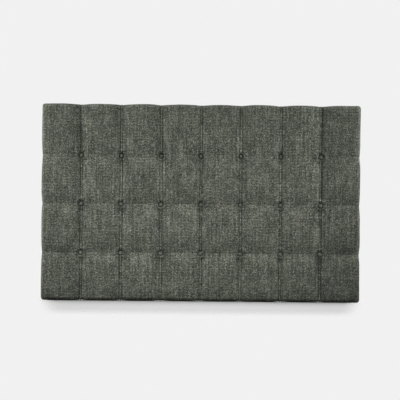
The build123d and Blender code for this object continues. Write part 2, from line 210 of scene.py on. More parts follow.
plywood, tree, shader = new_finish("sanded_plywood")
where = own_place(tree)
face_veneer = wood_on(tree, where, (0.6, 0.42, 0.25), (0.5, 0.32, 0.17), 24)
across_plies = place(tree, "ShaderNodeSeparateXYZ", {"Vector": where})["Y"]
ply_wave = reckon(tree, "SINE", reckon(tree, "MULTIPLY", across_plies, pi / ply_thickness))
ply_band = spread(tree, ply_wave, from_range=(-0.3, 0.3))
ply_edge = colour_ramp(tree, ply_band, [(0, (0.3, 0.18, 0.09)), (1, (0.62, 0.45, 0.27))])
facing = place(tree, "ShaderNodeNewGeometry")["Normal"]
facing_wall = reckon(tree, "ABSOLUTE", place(tree, "ShaderNodeSeparateXYZ", {"Vector": facing})["Y"])
ply_colour = blend(tree, facing_wall, ply_edge, face_veneer["Color"])
fill(tree, shader, {"Base Color": ply_colour, "Roughness": 0.66})
dress(["face_board"], plywood)

# Foam pad and wadding: a cut block of upholstery foam with a dimple at each tuft, and a soft layer of
# polyester over it that wraps its sides and is pressed into the tufted form. The cover hides both.
tuft_nodes = ("bottom_buttons", "middle_buttons", "top_buttons")
tuft_rows = np.array([(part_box(name)[0].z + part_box(name)[1].z) / 2 for name in tuft_nodes])
button_low, button_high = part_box("middle_buttons")
button_radius = (button_high.z - button_low.z) / 2
outer_seam = button_high.x - button_radius
seam_columns = np.linspace(-outer_seam, outer_seam, 7)
half_panel = outer_seam / 6
cover_low, cover_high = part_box("front_cover")
half_width = cover_high.x
half_height = (cover_high.z - cover_low.z) / 2
cover_middle_z = (cover_low.z + cover_high.z) / 2
crown_depth = -cover_low.y
return_depth = -cover_high.y
wrap_depth = crown_depth - return_depth

# How far the cover stands out from the crossings: at the crowns, at each seam from the left and at each pleat
# from the bottom. Then, for each of the eight strips, its share of the crown and how far it takes to spring
# back from a seam, and how far a panel takes to spring back above and below each pleat
crown_rise = 0.017
seam_rises = np.array([0.003, 0.0075, 0.0085, 0.0065, 0.008, 0.0065, 0.0005])
pleat_rises = np.array([0.0025, 0.006, 0.0115])
strip_crowns = np.array([1, 1, 1, 1, 1, 1, 1, 1.15])
strip_reaches = np.array([0.06, 0.046, 0.046, 0.046, 0.046, 0.046, 0.046, 0.1])
reaches_above = np.array([0.07, 0.055, 0.05])
reaches_below = np.array([0.07, 0.075, 0.055])
fold_rounding = 0.003
crossing_depth = crown_depth - crown_rise

# How the edges and the buttons change that: how far and over what distance
side_roll, side_roll_reach = 0.004, 0.06
bottom_roll, bottom_roll_reach = 0.012, 0.09
top_swell, top_swell_reach = 0.0025, 0.12
button_sink_share, button_sink_reach = 0.4, 0.03
ruffle_rise, ruffle_radius, ruffle_width = 0.0062, 0.021, 0.011
pit_radius, pit_rim_radius = 0.0116, 0.0194

# How far the outline is drawn in, and how the cover turns at its edges
side_draw, side_draw_reach = 0.004, 0.08
top_draw, bottom_draw = 0.005, 0.0022
edge_zone = 0.08
front_radius, back_radius = 0.018, 0.007


def nearest_line(values, lines):
    """Signed distance of each value from the nearest line, and which line that is."""
    offsets = values[:, None] - lines
    nearest = np.abs(offsets).argmin(axis=1)
    return offsets[np.arange(len(values)), nearest], nearest


def ramp(distance, start, end):
    """0 up to start, 1 from end on, and straight between them."""
    return np.clip((distance - start) / (end - start), 0, 1)


def bell(distance, width):
    return np.exp(-((distance / width) ** 2))


def pulled_in(distance, reach, fullness, rounding=fold_rounding):
    """0 on a line that draws the cover in, and 1 at reach from it. The line itself is a little rounded."""
    rounded = np.where(distance > 0, np.hypot(distance, rounding) - rounding, 0)
    return 1 - (1 - np.clip(rounded / reach, 0, 1)) ** fullness


def springs_back(distance, reach, rounding=fold_rounding):
    """As pulled_in, but most of the way within reach and the rest by the middle of the panel."""
    return 0.8 * pulled_in(distance, reach, 2, rounding) + 0.2 * pulled_in(distance, half_panel, 2, rounding)


def soft_noise(x, z, lengths, seed):
    """Smooth noise between about -1 and 1, with its own length scale along X and Z."""
    return np.array([noise.noise(Vector((u / lengths[0], w / lengths[1], seed))) for u, w in zip(x, z)])


def swayed(x, z):
    """Z as the pleats see it, which sag and wander a little between the buttons."""
    sag, wander = 0.002, 0.0045
    off_seam, _ = nearest_line(x, seam_columns)
    between = ramp(np.abs(off_seam), 0.02, 0.06)
    return z + between * (wander * soft_noise(x, z, (0.09, 0.4), seed=21.0) - sag)


def tufted_rise(x, z):
    """How far the cover stands out from the crossings: crowned panels between seams and pleats. A panel hangs
    full above a pleat and springs back quickly below it."""
    off_seam, seam = nearest_line(x, seam_columns)
    off_pleat, _ = nearest_line(z, tuft_rows)
    from_button = np.hypot(off_seam, off_pleat)
    from_side, from_bottom, from_top = half_width - np.abs(x), z - cover_low.z, cover_high.z - z
    strip = np.searchsorted(seam_columns, x)
    from_seam = springs_back(np.abs(off_seam), strip_reaches[strip])
    z = swayed(x, z)
    off_pleats = z[:, None] - tuft_rows
    rounding = (0.0075 + 0.006 * soft_noise(x, z, (0.22, 0.2), seed=31.0)).clip(0.003, 0.014)[:, None]
    above = springs_back(off_pleats, reaches_above, rounding)
    below = springs_back(-off_pleats, reaches_below, rounding)
    from_pleats = np.where(off_pleats > 0, above, below)
    clear_of_pleats = from_pleats.prod(axis=1)
    rise = crown_rise * strip_crowns[strip] * from_seam * clear_of_pleats
    rise += from_seam * ((1 - from_pleats) * pleat_rises).sum(axis=1)
    rise += seam_rises[seam] * (1 - from_seam) * clear_of_pleats
    rise -= side_roll * (1 - pulled_in(from_side, side_roll_reach, 2))
    rise -= bottom_roll * (1 - pulled_in(from_bottom, bottom_roll_reach, 2.2))
    rise += top_swell * (1 - pulled_in(from_top, top_swell_reach, 2))
    rise *= 1 - button_sink_share * bell(from_button, button_sink_reach)
    rise += ruffle_rise * bell(from_button - ruffle_radius, ruffle_width)
    pit = ramp(from_button, pit_radius, pit_rim_radius)
    return np.maximum(rise * pit * (2 - pit), 0.0002)


def lay_on_form(flat, inset=0.0, fine=0.0):
    """Moves points of a flat-sided box onto the tufted, rounded form, inset from the cover's face. Pleats
    draw the side edges in, and seams the top and bottom edges. Fine detail stands out along the surface's
    own direction, which is given back too."""
    x, depth, z = flat[:, 0], -flat[:, 1], flat[:, 2]
    front = crossing_depth + tufted_rise(x, z)
    off_seam, _ = nearest_line(x, seam_columns)
    off_pleat, _ = nearest_line(z, tuft_rows)
    side_pull = side_draw * (1 - pulled_in(np.abs(off_pleat), side_draw_reach, 2.5))
    end_draw = np.where(z > tuft_rows[1], top_draw, bottom_draw)
    end_pull = end_draw * (1 - pulled_in(np.abs(off_seam), half_panel, 2.2))
    near_side = ramp(np.abs(x), half_width - edge_zone, half_width) ** 2
    near_end = ramp(np.abs(z - cover_middle_z), half_height - edge_zone, half_height) ** 2
    x = x - np.sign(x) * side_pull * near_side
    z = z - np.sign(z - cover_middle_z) * end_pull * near_end
    share = (depth - return_depth) / wrap_depth
    depth = return_depth + share * (front - return_depth)
    radius = back_radius + (front_radius - back_radius) * np.clip(share, 0, 1) ** 2 - inset
    limit_x = half_width - side_pull - inset - radius
    limit_low = cover_low.z + end_pull + inset + radius
    limit_high = cover_high.z - end_pull - inset - radius
    core_x = np.clip(x, -limit_x, limit_x)
    core_depth = np.clip(depth, return_depth + inset + radius, front - inset - radius)
    core_z = np.clip(z, limit_low, limit_high)
    away = np.stack([x - core_x, core_depth - depth, z - core_z], axis=1)
    length = np.linalg.norm(away, axis=1)
    inner = length < 1e-9
    away[inner] = (0, -1, 0)
    length[inner] = 1
    away /= length[:, None]
    core = np.stack([core_x, -core_depth, core_z], axis=1)
    return core + away * (radius + fine)[:, None], away


def pick_only(piece):
    """Leaves one object selected and active."""
    bpy.ops.object.select_all(action="DESELECT")
    piece.select_set(True)
    bpy.context.view_layer.objects.active = piece


def face_outwards(piece):
    """Points all the faces of a closed piece outwards."""
    pick_only(piece)
    bpy.ops.object.mode_set(mode="EDIT")
    bpy.ops.mesh.select_all(action="SELECT")
    bpy.ops.mesh.normals_make_consistent(inside=False)
    bpy.ops.object.mode_set(mode="OBJECT")


def apply_modifier(piece, kind, **settings):
    """Adds a modifier to a piece and applies it."""
    modifier = piece.modifiers.new("shaping", kind)
    for key, value in settings.items():
        setattr(modifier, key, value)
    pick_only(piece)
    bpy.ops.object.modifier_apply(modifier=modifier.name)


def read_points(mesh):
    points = np.empty(len(mesh.vertices) * 3)
    mesh.vertices.foreach_get("co", points)
    return points.reshape(-1, 3)


def write_points(mesh, points):
    mesh.vertices.foreach_set("co", np.ascontiguousarray(points).ravel())
    mesh.update()


def spread_lines(lines, low, high, steps, crowding):
    """Grid places from low to high: the same number of steps on each side of each line, closest near the
    lines and the ends."""
    ends = [low, *lines, high]
    half = np.sinh(crowding * np.arange(1, steps + 1) / steps) / np.sinh(crowding) / 2
    shares = np.concatenate([half, 1 - half[-2::-1], [1]])
    places = [[low]]
    for start, end in zip(ends, ends[1:]):
        places.append(start + (end - start) * shares)
    return np.concatenate(places)


def start_from(add_primitive, **settings):
    """A primitive that is about to be shaped, with nothing else selected."""
    bpy.ops.object.select_all(action="DESELECT")
    add_primitive(**settings)
    return bpy.context.object


def lay_grid(name, across, upward):
    """A grid of points with its own places across and upward, and those places for each of its points."""
    steps = {"x_subdivisions": len(across) - 1, "y_subdivisions": len(upward) - 1}
    layer = start_from(bpy.ops.mesh.primitive_grid_add, size=2, **steps)
    layer.name = name
    unit = read_points(layer.data)
    column = np.rint((unit[:, 0] + 1) / 2 * (len(across) - 1)).astype(int)
    row = np.rint((unit[:, 1] + 1) / 2 * (len(upward) - 1)).astype(int)
    return layer, across[column], upward[row]


def lay_layer(name, across, upward, wall_steps, return_steps):
    """A grid for the front, its edge drawn back as walls and then in as a return, all still flat-sided."""
    layer, x, z = lay_grid(name, across, upward)
    write_points(layer.data, np.stack([x, np.full(len(x), -crown_depth), z], axis=1))
    bpy.ops.object.mode_set(mode="EDIT")
    bpy.ops.mesh.select_mode(type="EDGE")
    bpy.ops.mesh.select_all(action="SELECT")
    bpy.ops.mesh.region_to_loop()
    for start, end in zip(wall_steps, wall_steps[1:]):
        bpy.ops.mesh.extrude_region_move(TRANSFORM_OT_translate={"value": (0, end - start, 0)})
    for start, end in zip(return_steps, return_steps[1:]):
        bpy.ops.mesh.extrude_region_move(TRANSFORM_OT_translate={"value": (0, 0, 0)})
        scale_x = (half_width - end) / (half_width - start)
        scale_z = (half_height - end) / (half_height - start)
        bpy.ops.transform.resize(value=(scale_x, 1, scale_z), center_override=(0, 0, cover_middle_z))
    bpy.ops.object.mode_set(mode="OBJECT")
    return layer


def put_in_place(piece, node_name, material):
    """Finishes a piece that hangs on the headboard in place of a CAD node."""
    piece.data.materials.append(material)
    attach(piece, "headboard")
    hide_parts(node_name)


wadding_thickness = 0.0028
coarse_across = spread_lines(seam_columns, -half_width, half_width, steps=6, crowding=2)
coarse_upward = spread_lines(tuft_rows, cover_low.z, cover_high.z, steps=8, crowding=2)
coarse_wall = np.array([0, 0.004, 0.009, 0.014, 0.02, 0.04, wrap_depth - 0.012, wrap_depth])
wadding_layer = lay_layer("wadding_layer", coarse_across, coarse_upward, coarse_wall, [0, 0.006])
flat = read_points(wadding_layer.data)
loft = 0.0006 * soft_noise(flat[:, 0], flat[:, 2], (0.02, 0.02), seed=3.0)
formed, _ = lay_on_form(flat, inset=wadding_thickness, fine=np.minimum(loft, 0.0004))
write_points(wadding_layer.data, formed)
apply_modifier(wadding_layer, "SOLIDIFY", thickness=wadding_thickness)
bpy.ops.object.shade_smooth()

fleece, tree, shader = new_finish("polyester_fleece")
fibres = noise_at(tree, own_place(tree), 260.0, 5.0, distortion=2.5)["Fac"]
fill(tree, shader, {
    "Base Color": colour_ramp(tree, fibres, [(0.3, (0.76, 0.76, 0.74)), (0.65, (0.93, 0.93, 0.91))]),
    "Normal": relief(tree, fibres, 0.7, 0.0012),
    "Roughness": 1.0,
    "Sheen Weight": 0.4,
})

foam_low, foam_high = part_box("foam_pad")
foam_face = foam_low.y + 0.001
dimple_depth, dimple_radius = 0.006, 0.022
foam_across = spread_lines(seam_columns, foam_low.x, foam_high.x, steps=6, crowding=2)
foam_upward = spread_lines(tuft_rows, foam_low.z, foam_high.z, steps=8, crowding=2)
foam_block, x, z = lay_grid("foam_block", foam_across, foam_upward)
off_seam, _ = nearest_line(x, seam_columns)
off_pleat, _ = nearest_line(z, tuft_rows)
dimple = dimple_depth * bell(np.hypot(off_seam, off_pleat), dimple_radius)
cut_marks = 0.0003 * soft_noise(x, z, (0.01, 0.01), seed=8.0)
write_points(foam_block.data, np.stack([x, foam_face + dimple + cut_marks, z], axis=1))
bpy.ops.object.mode_set(mode="EDIT")
bpy.ops.mesh.select_all(action="SELECT")
bpy.ops.mesh.extrude_region_move(TRANSFORM_OT_translate={"value": (0, 0.01, 0)})
bpy.ops.transform.resize(value=(1, 0, 1), center_override=(0, foam_high.y, 0))
bpy.ops.object.mode_set(mode="OBJECT")
face_outwards(foam_block)

foam, tree, shader = new_finish("cut_foam")
where = own_place(tree)
aged = noise_at(tree, where, 5.0, 3.0)["Fac"]
cells = place(tree, "ShaderNodeTexVoronoi", {"Vector": where, "Scale": 900.0})["Distance"]
fill(tree, shader, {
    "Base Color": colour_ramp(tree, aged, [(0.3, (0.8, 0.74, 0.52)), (0.7, (0.88, 0.84, 0.68))]),
    "Normal": relief(tree, cells, 0.6, 0.0006),
    "Roughness": 0.95,
})
for piece, node_name, slot_name, material in (
    (foam_block, "foam_pad", "foam", foam),
    (wadding_layer, "wadding", "wadding", fleece),
):
    put_in_place(piece, node_name, material)

# Cover: eight strips of tweed joined by flat seams that are topstitched on both sides, pleated between the
# buttons, wrapped round the sides and returned over the back of the frame.
cloth_thickness = 0.0012
stitch_offset = 0.0057
seam_pulls = np.array([0.85, 0.9, 0.85, 1.05, 0.9, 1.0, 0.95])
# Painted shade: the two outer strips are darker and the middle ones a little lighter, as the light falls off
# towards the sides
strip_painted_shade = np.array([0.92, 1.005, 1.02, 1.025, 1.025, 1.03, 1.03, 0.915])
pleat_folds = np.array([0.16, 0.14, 0.08])
front_turn = np.array([0, 2.5, 5, 8, 11, 14, 18, 24, 36, 54]) / 1000
wall_steps = np.concatenate([front_turn, wrap_depth - np.array([12, 8, 4, 0]) / 1000])
return_steps = np.array([0, 3, 6, 12, 28, 45]) / 1000
cover_across = spread_lines(seam_columns, -half_width, half_width, steps=24, crowding=4)
cover_upward = spread_lines(tuft_rows, cover_low.z, cover_high.z, steps=24, crowding=3.6)
tweed_cover = lay_layer("tweed_cover", cover_across, cover_upward, wall_steps, return_steps)
lining = lay_layer("tweed_inside", coarse_across, coarse_upward, coarse_wall, return_steps[[0, 2, 5]])


def seam_detail(x, z):
    """The fine shape of the sewing: felled seams between two sunk lines of stitches, folds at the pleats, and
    the puckers that both leave beside them."""
    off_seam, seam = nearest_line(x, seam_columns)
    off_pleat, row = nearest_line(z, tuft_rows)
    from_button = np.hypot(off_seam, off_pleat)
    off_pleat, row = nearest_line(swayed(x, z), tuft_rows)
    from_seam, from_pleat = np.abs(off_seam), np.abs(off_pleat)
    sunk = -0.003 * seam_pulls[seam] * bell(from_seam - stitch_offset, 0.0012)
    felled = 0.001 * (1 - ramp(from_seam, 0.0036, 0.005)) - 0.0004 * bell(from_seam, 0.0007)
    fold = 0.0022 * bell(off_pleat - 0.0075, 0.006) - 0.0024 * bell(off_pleat - 0.001, 0.0022)
    gather_phase = 2.1 * seam + 1.3 * row + 3 * soft_noise(x, z, (0.03, 0.03), seed=5.0)
    gathers = np.cos(9 * np.arctan2(off_pleat, off_seam) + gather_phase)
    beside_seam = soft_noise(x, z, (0.06, 0.014), seed=1.0) * np.exp(-from_seam / 0.02) * (from_seam > 0.006)
    beside_pleat = soft_noise(x, z, (0.016, 0.06), seed=2.0) * np.exp(-from_pleat / 0.022)
    slack = 0.0016 * soft_noise(x, z, (0.11, 0.13), seed=6.0)
    slack += 0.0006 * soft_noise(x, z, (0.045, 0.035), seed=7.0)
    return (
        (sunk + felled) * ramp(from_button, 0.013, 0.019)
        + fold * pleat_folds[row] * ramp(from_seam, 0.009, 0.019)
        + 0.0012 * gathers * bell(from_button - 0.02, 0.014)
        + (0.0011 * beside_seam + 0.001 * beside_pleat) * ramp(from_button, 0.012, 0.024)
        + slack * ramp(from_seam, 0, 0.03) * ramp(from_pleat, 0, 0.03)
    )


def painted_cover_light(x, z):
    """Painted light on the cover, as a factor on its colour: a painted highlight on the seams' ridges,
    painted shade along the lines of stitches and round the buttons, and painted shade on the two outer
    strips."""
    off_seam, seam = nearest_line(x, seam_columns)
    off_pleat, _ = nearest_line(z, tuft_rows)
    from_seam, from_button = np.abs(off_seam), np.hypot(off_seam, off_pleat)
    painted_ridge_highlight = 0.3 * (1 - ramp(from_seam, 0.0034, 0.0044))
    painted_stitch_shade = 0.88 * seam_pulls[seam] * bell(from_seam - stitch_offset - 0.0001, 0.0024)
    painted_light = 1 + (painted_ridge_highlight - painted_stitch_shade) * ramp(from_button, 0.016, 0.022)
    # Painted shade in a ring round each button and in a fainter halo about it
    painted_light *= 1 - 0.25 * bell(from_button - 0.019, 0.011) - 0.08 * bell(from_button, 0.045)
    return painted_light * strip_painted_shade[np.searchsorted(seam_columns, x)]


def map_cloth(layer, flat):
    """Gives a layer the cloth's own flat coordinates in metres, which run on over the walls and return."""
    corner_of = np.empty(len(layer.data.loops), int)
    layer.data.loops.foreach_get("vertex_index", corner_of)
    totals = np.empty(len(layer.data.polygons), int)
    layer.data.polygons.foreach_get("loop_total", totals)
    corners = flat[corner_of]
    face_of_corner = np.repeat(np.arange(len(totals)), totals)
    first_corners = np.concatenate([[0], np.cumsum(totals)[:-1]])
    centres = (np.add.reduceat(corners, first_corners, axis=0) / totals[:, None])[face_of_corner]
    from_side = half_width - np.abs(corners[:, 0])
    from_end = half_height - np.abs(corners[:, 2] - cover_middle_z)
    on_side = half_width - np.abs(centres[:, 0]) < half_height - np.abs(centres[:, 2] - cover_middle_z)
    on_front = centres[:, 1] < 1e-5 - crown_depth
    round_edge = corners[:, 1] + crown_depth + np.where(on_side, from_side, from_end)
    over_side = np.sign(corners[:, 0]) * (half_width + round_edge)
    over_end = cover_middle_z + np.sign(corners[:, 2] - cover_middle_z) * (half_height + round_edge)
    across = np.where(on_side & ~on_front, over_side, corners[:, 0])
    upward = np.where(on_side | on_front, corners[:, 2], over_end)
    cloth_map = layer.data.uv_layers.new(name="cloth")
    cloth_map.data.foreach_set("uv", np.stack([across, upward], axis=1).ravel())
    # The cover's painted light, both highlight and shade, is kept on each of its points
    painted_light = layer.data.attributes.new("painted_light", "FLOAT", "POINT")
    painted_light.data.foreach_set("value", painted_cover_light(flat[:, 0], flat[:, 2]))


for layer, inset in ((tweed_cover, 0), (lining, cloth_thickness)):
    flat = read_points(layer.data)
    map_cloth(layer, flat)
    before_return = ramp(-flat[:, 1], return_depth + 0.01, return_depth + 0.04)
    detail = seam_detail(flat[:, 0], flat[:, 2]) * before_return
    formed, _ = lay_on_form(flat, inset=inset, fine=detail if inset == 0 else np.minimum(detail, 0))
    write_points(layer.data, formed)

# The lining is the cloth's inner face: it is turned over and closed onto the outer face at its edge
pick_only(lining)
bpy.ops.object.mode_set(mode="EDIT")
bpy.ops.mesh.select_all(action="SELECT")
bpy.ops.mesh.flip_normals()
bpy.ops.object.mode_set(mode="OBJECT")
tweed_cover.select_set(True)
bpy.context.view_layer.objects.active = tweed_cover
bpy.ops.object.join()
bpy.ops.object.mode_set(mode="EDIT")
bpy.ops.mesh.select_mode(type="EDGE")
bpy.ops.mesh.select_all(action="DESELECT")
bpy.ops.mesh.select_non_manifold(extend=False)
bpy.ops.mesh.bridge_edge_loops()
bpy.ops.object.mode_set(mode="OBJECT")
bpy.ops.object.shade_smooth()

# A group for the tweed, whose warp and weft yarns cross over and under
weave, weave_in, weave_out = new_group(
    "tweed_weave",
    [
        ("Vector", "NodeSocketVector", None),
        ("Yarns per metre", "NodeSocketFloat", 430.0),
        ("Slub contrast", "NodeSocketFloat", 1.78),
        ("Mean shade", "NodeSocketFloat", 0.5),
        ("Painted light", "NodeSocketFloat", 1.0),
    ],
    [("Color", "NodeSocketColor"), ("Height", "NodeSocketFloat")],
)
cloth_place = weave_in["Vector"]
wander = noise_at(weave, cloth_place, 45.0, 1.0)["Color"]
wandered = reckon_vector(weave, "MULTIPLY_ADD", wander, (0.002, 0.002, 0), cloth_place)
counted = reckon_vector(weave, "MULTIPLY", wandered, weave_in["Yarns per metre"])
yarn_cell = reckon_vector(weave, "FLOOR", counted)
yarn_number = place(weave, "ShaderNodeSeparateXYZ", {"Vector": yarn_cell})
yarn_sum = reckon(weave, "ADD", yarn_number["X"], yarn_number["Y"])
weft_over = reckon(weave, "FLOORED_MODULO", yarn_sum, 2.0)
half_turns = reckon_vector(weave, "MULTIPLY", counted, (pi, pi, pi))
yarn_round = reckon_vector(weave, "ABSOLUTE", reckon_vector(weave, "SINE", half_turns))
yarn_up = place(weave, "ShaderNodeSeparateXYZ", {"Vector": yarn_round})
yarn_height = blend(weave, weft_over, yarn_up["X"], yarn_up["Y"], kind="FLOAT")

# Each yarn's shade changes in its own run of slubs, which are long upward in the warp and across in the weft
slubs = []
for along, yarn_step in (((0, 0.13, 0), (17.3, 0, 0)), ((0.16, 0, 0), (0, 17.3, 7.1))):
    yarn_start = reckon_vector(weave, "MULTIPLY", yarn_cell, yarn_step)
    yarn_run = reckon_vector(weave, "MULTIPLY_ADD", counted, along, yarn_start)
    slubs.append(noise_at(weave, yarn_run, 1.0, 2.0, roughness=0.6)["Fac"])
slub_shade = blend(weave, weft_over, *slubs, kind="FLOAT")

# Fancy warp ends float over the face in dashes, each at its own place along the warp
ends_per_metre, dashes_per_metre = 210.0, 66.0
face_place = place(weave, "ShaderNodeSeparateXYZ", {"Vector": wandered})
end_number = reckon(weave, "FLOOR", reckon(weave, "MULTIPLY", face_place["X"], ends_per_metre))
end_start = place(weave, "ShaderNodeTexWhiteNoise", {"W": end_number}, noise_dimensions="1D")["Value"]
end_turns = reckon(weave, "MULTIPLY_ADD", face_place["Y"], dashes_per_metre, end_start)
dashes = reckon(weave, "SINE", reckon(weave, "MULTIPLY", end_turns, 2 * pi))

# Fibres bunch in blots and in long streaks, the dye takes unevenly, and some picks of the weft are heavier
blots = noise_at(weave, reckon_vector(weave, "MULTIPLY", cloth_place, (490, 215, 1)), 1.0, 3.0, roughness=0.7)
streaks = noise_at(weave, reckon_vector(weave, "MULTIPLY", cloth_place, (110, 5, 1)), 1.0, 2.0, roughness=0.6)
uneven_dye = noise_at(weave, cloth_place, 13.0, 2.0, roughness=0.6)
heavy_weft = place(
    weave, "ShaderNodeTexWave",
    {"Vector": cloth_place, "Scale": 21.7, "Distortion": 3.5, "Detail": 2.0, "Detail Scale": 3.0},
    bands_direction="Y",
)["Fac"]
mean_of_patterns = 1.263
shade = reckon(weave, "ADD", slub_shade, blots["Fac"])
for pattern, share in (
    (streaks["Fac"], 0.29),
    (uneven_dye["Fac"], 0.16),
    (heavy_weft, 0.035),
    (dashes, 0.02),
):
    shade = reckon(weave, "MULTIPLY_ADD", pattern, share, shade)
shade_off = reckon(weave, "SUBTRACT", shade, mean_of_patterns)
yarn_shade = reckon(weave, "MULTIPLY_ADD", shade_off, weave_in["Slub contrast"], weave_in["Mean shade"])
yarn_colour = colour_ramp(
    weave, yarn_shade,
    [
        (0.1, (0.010, 0.0125, 0.009)),
        (0.36, (0.040, 0.047, 0.036)),
        (0.52, (0.091, 0.102, 0.079)),
        (0.7, (0.181, 0.198, 0.157)),
        (0.92, (0.385, 0.39, 0.325)),
    ],
)
for pattern, contrast, base in (
    (blots, (0.6, 0.4, 0.6), (0.7, 0.806, 0.714)),
    (uneven_dye, (0.12, 0.06, 0.12), (0.94, 0.97, 0.94)),
):
    tint = reckon_vector(weave, "MULTIPLY_ADD", pattern["Color"], contrast, base)
    yarn_colour = reckon_vector(weave, "MULTIPLY", yarn_colour, tint)

# Pale neps are spun in here and there. The yarns are painted darker in the valleys between them and a little
# lighter on their crowns, as painted shade and highlight, and the cover's painted light is laid over that
nep_colour = (0.36, 0.35, 0.29, 1)
nep_cells = place(weave, "ShaderNodeTexVoronoi", {"Vector": cloth_place, "Scale": 130.0})
nep_number = place(weave, "ShaderNodeSeparateColor", {"Color": nep_cells["Color"]})["Red"]
nep_picked = reckon(weave, "GREATER_THAN", nep_number, 0.93)
nep_spot = spread(weave, nep_cells["Distance"], from_range=(0.45, 0.2), to_range=(0, 0.7))
with_neps = blend(weave, reckon(weave, "MULTIPLY", nep_picked, nep_spot), yarn_colour, nep_colour)
painted_yarn_shade = spread(weave, yarn_height, to_range=(0.6, 1.15))
painted_yarn_light = reckon(weave, "MULTIPLY", painted_yarn_shade, weave_in["Painted light"])
shaded_yarns = reckon_vector(weave, "MULTIPLY", with_neps, painted_yarn_light)
fill(weave, weave_out, {"Color": shaded_yarns, "Height": yarn_height})


def finish_tweed(name, on_cover):
    """The tweed, on the cloth's own flat coordinates or, on a button, straight through from the front. On a
    button the yarns are evened out, as on stretched cloth, and painted a little lighter, a painted highlight
    on the domes.
    """
    material, tree, shader = new_finish(name)
    if on_cover:
        # The cover's painted light, both highlight and shade, is read from its points
        painted_light = place(tree, "ShaderNodeAttribute", attribute_name="painted_light")["Fac"]
        given = {"Vector": place(tree, "ShaderNodeUVMap", uv_map="cloth")[0], "Painted light": painted_light}
    else:
        # On a button: evened yarns, as on stretched cloth, and a lighter mean shade that is a painted
        # highlight
        given = {"Vector": turned_place(tree, (-pi / 2, 0, 0)), "Slub contrast": 0.8, "Mean shade": 0.53}
    tweed = place(tree, "ShaderNodeGroup", given, node_tree=weave)
    fill(tree, shader, {
        "Base Color": tweed["Color"],
        "Normal": relief(tree, tweed["Height"], 0.5, 0.0005),
        "Roughness": 0.92,
        "Specular IOR Level": 0.2,
        "Sheen Weight": 0.12,
        "Sheen Roughness": 0.5,
    })
    return material


put_in_place(tweed_cover, "front_cover", finish_tweed("tweed_cloth", True))

# Topstitching: two lines of stout thread beside each seam, in stitches of about 5 mm that sink into the cloth
# at both ends. They run over the top and bottom edges to the back, and stop short of the buttons.
stitch_pitch = 0.006
stitch_length = 0.0046
thread_radius = 0.00055
thread_proud = 0.0003
stitches_from_button = 0.019


def join_copies(name, shapes, faces):
    """One piece of many copies of a shape. Shapes holds each copy's own points."""
    mesh = bpy.data.meshes.new(name)
    corners = [
        tuple(corner + copy * shapes.shape[1] for corner in face)
        for copy in range(len(shapes))
        for face in faces
    ]
    mesh.from_pydata(shapes.reshape(-1, 3).tolist(), [], corners)
    piece = bpy.data.objects.new(name, mesh)
    bpy.context.collection.objects.link(piece)
    face_outwards(piece)
    return piece


def take_shape(piece):
    """The points and faces of a shape that is about to be copied. The shape itself is removed."""
    shape = read_points(piece.data), [tuple(face.vertices) for face in piece.data.polygons]
    bpy.data.objects.remove(piece)
    return shape


one_stitch = start_from(bpy.ops.mesh.primitive_uv_sphere_add, segments=6, ring_count=5, radius=1)
stitch_points, stitch_faces = take_shape(one_stitch)
front_places = np.arange(cover_low.z + 0.006, cover_high.z - 0.005, stitch_pitch)
wall_places = np.arange(0.006, wrap_depth - 0.006, stitch_pitch)
starts = []
for seam_x in seam_columns:
    for side in (-1, 1):
        x = seam_x + side * stitch_offset
        starts.extend(((x, -crown_depth, z), (0, 0, 1)) for z in front_places)
        for z in (cover_low.z, cover_high.z):
            starts.extend(((x, -crown_depth + step, z), (0, 1, 0)) for step in wall_places)
start_points = np.array([start for start, _ in starts])
directions = np.array([direction for _, direction in starts], float)
off_seam, _ = nearest_line(start_points[:, 0], seam_columns)
off_pleat, _ = nearest_line(start_points[:, 2], tuft_rows)
keep = np.hypot(off_seam, off_pleat) > stitches_from_button
start_points, directions = start_points[keep], directions[keep]
ends = []
for points in (start_points, start_points + directions * stitch_length):
    placed, away = lay_on_form(points, fine=seam_detail(points[:, 0], points[:, 2]))
    ends.append(placed)
middles = (ends[0] + ends[1]) / 2 + away * thread_proud
lengthwise = ends[1] - ends[0]
lengthwise /= np.linalg.norm(lengthwise, axis=1)[:, None]
sideways = np.cross(lengthwise, away)
sideways /= np.linalg.norm(sideways, axis=1)[:, None]
outward = np.cross(sideways, lengthwise)
stitch_shapes = middles[:, None].repeat(len(stitch_points), axis=1)
for axis, direction, size in (
    (2, lengthwise, stitch_length / 2),
    (0, sideways, thread_radius),
    (1, outward, thread_radius),
):
    stitch_shapes += stitch_points[None, :, axis, None] * direction[:, None] * size
topstitching = join_copies("topstitching", stitch_shapes, stitch_faces)
bpy.ops.object.shade_smooth()


def twisted_strands(tree, scale, distortion):
    """Bands that run slantwise over a twisted thread."""
    inputs = {"Vector": own_place(tree), "Scale": scale, "Distortion": distortion}
    return place(tree, "ShaderNodeTexWave", inputs, bands_direction="DIAGONAL")["Fac"]


thread, tree, shader = new_finish("stout_thread")
twist = twisted_strands(tree, 900.0, 1.0)
thread_colour = colour_ramp(tree, twist, [(0.2, (0.016, 0.018, 0.015)), (0.9, (0.045, 0.05, 0.042))])
fill(tree, shader, {"Base Color": thread_colour, "Roughness": 0.7})
topstitching.data.materials.append(thread)
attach(topstitching, "headboard")

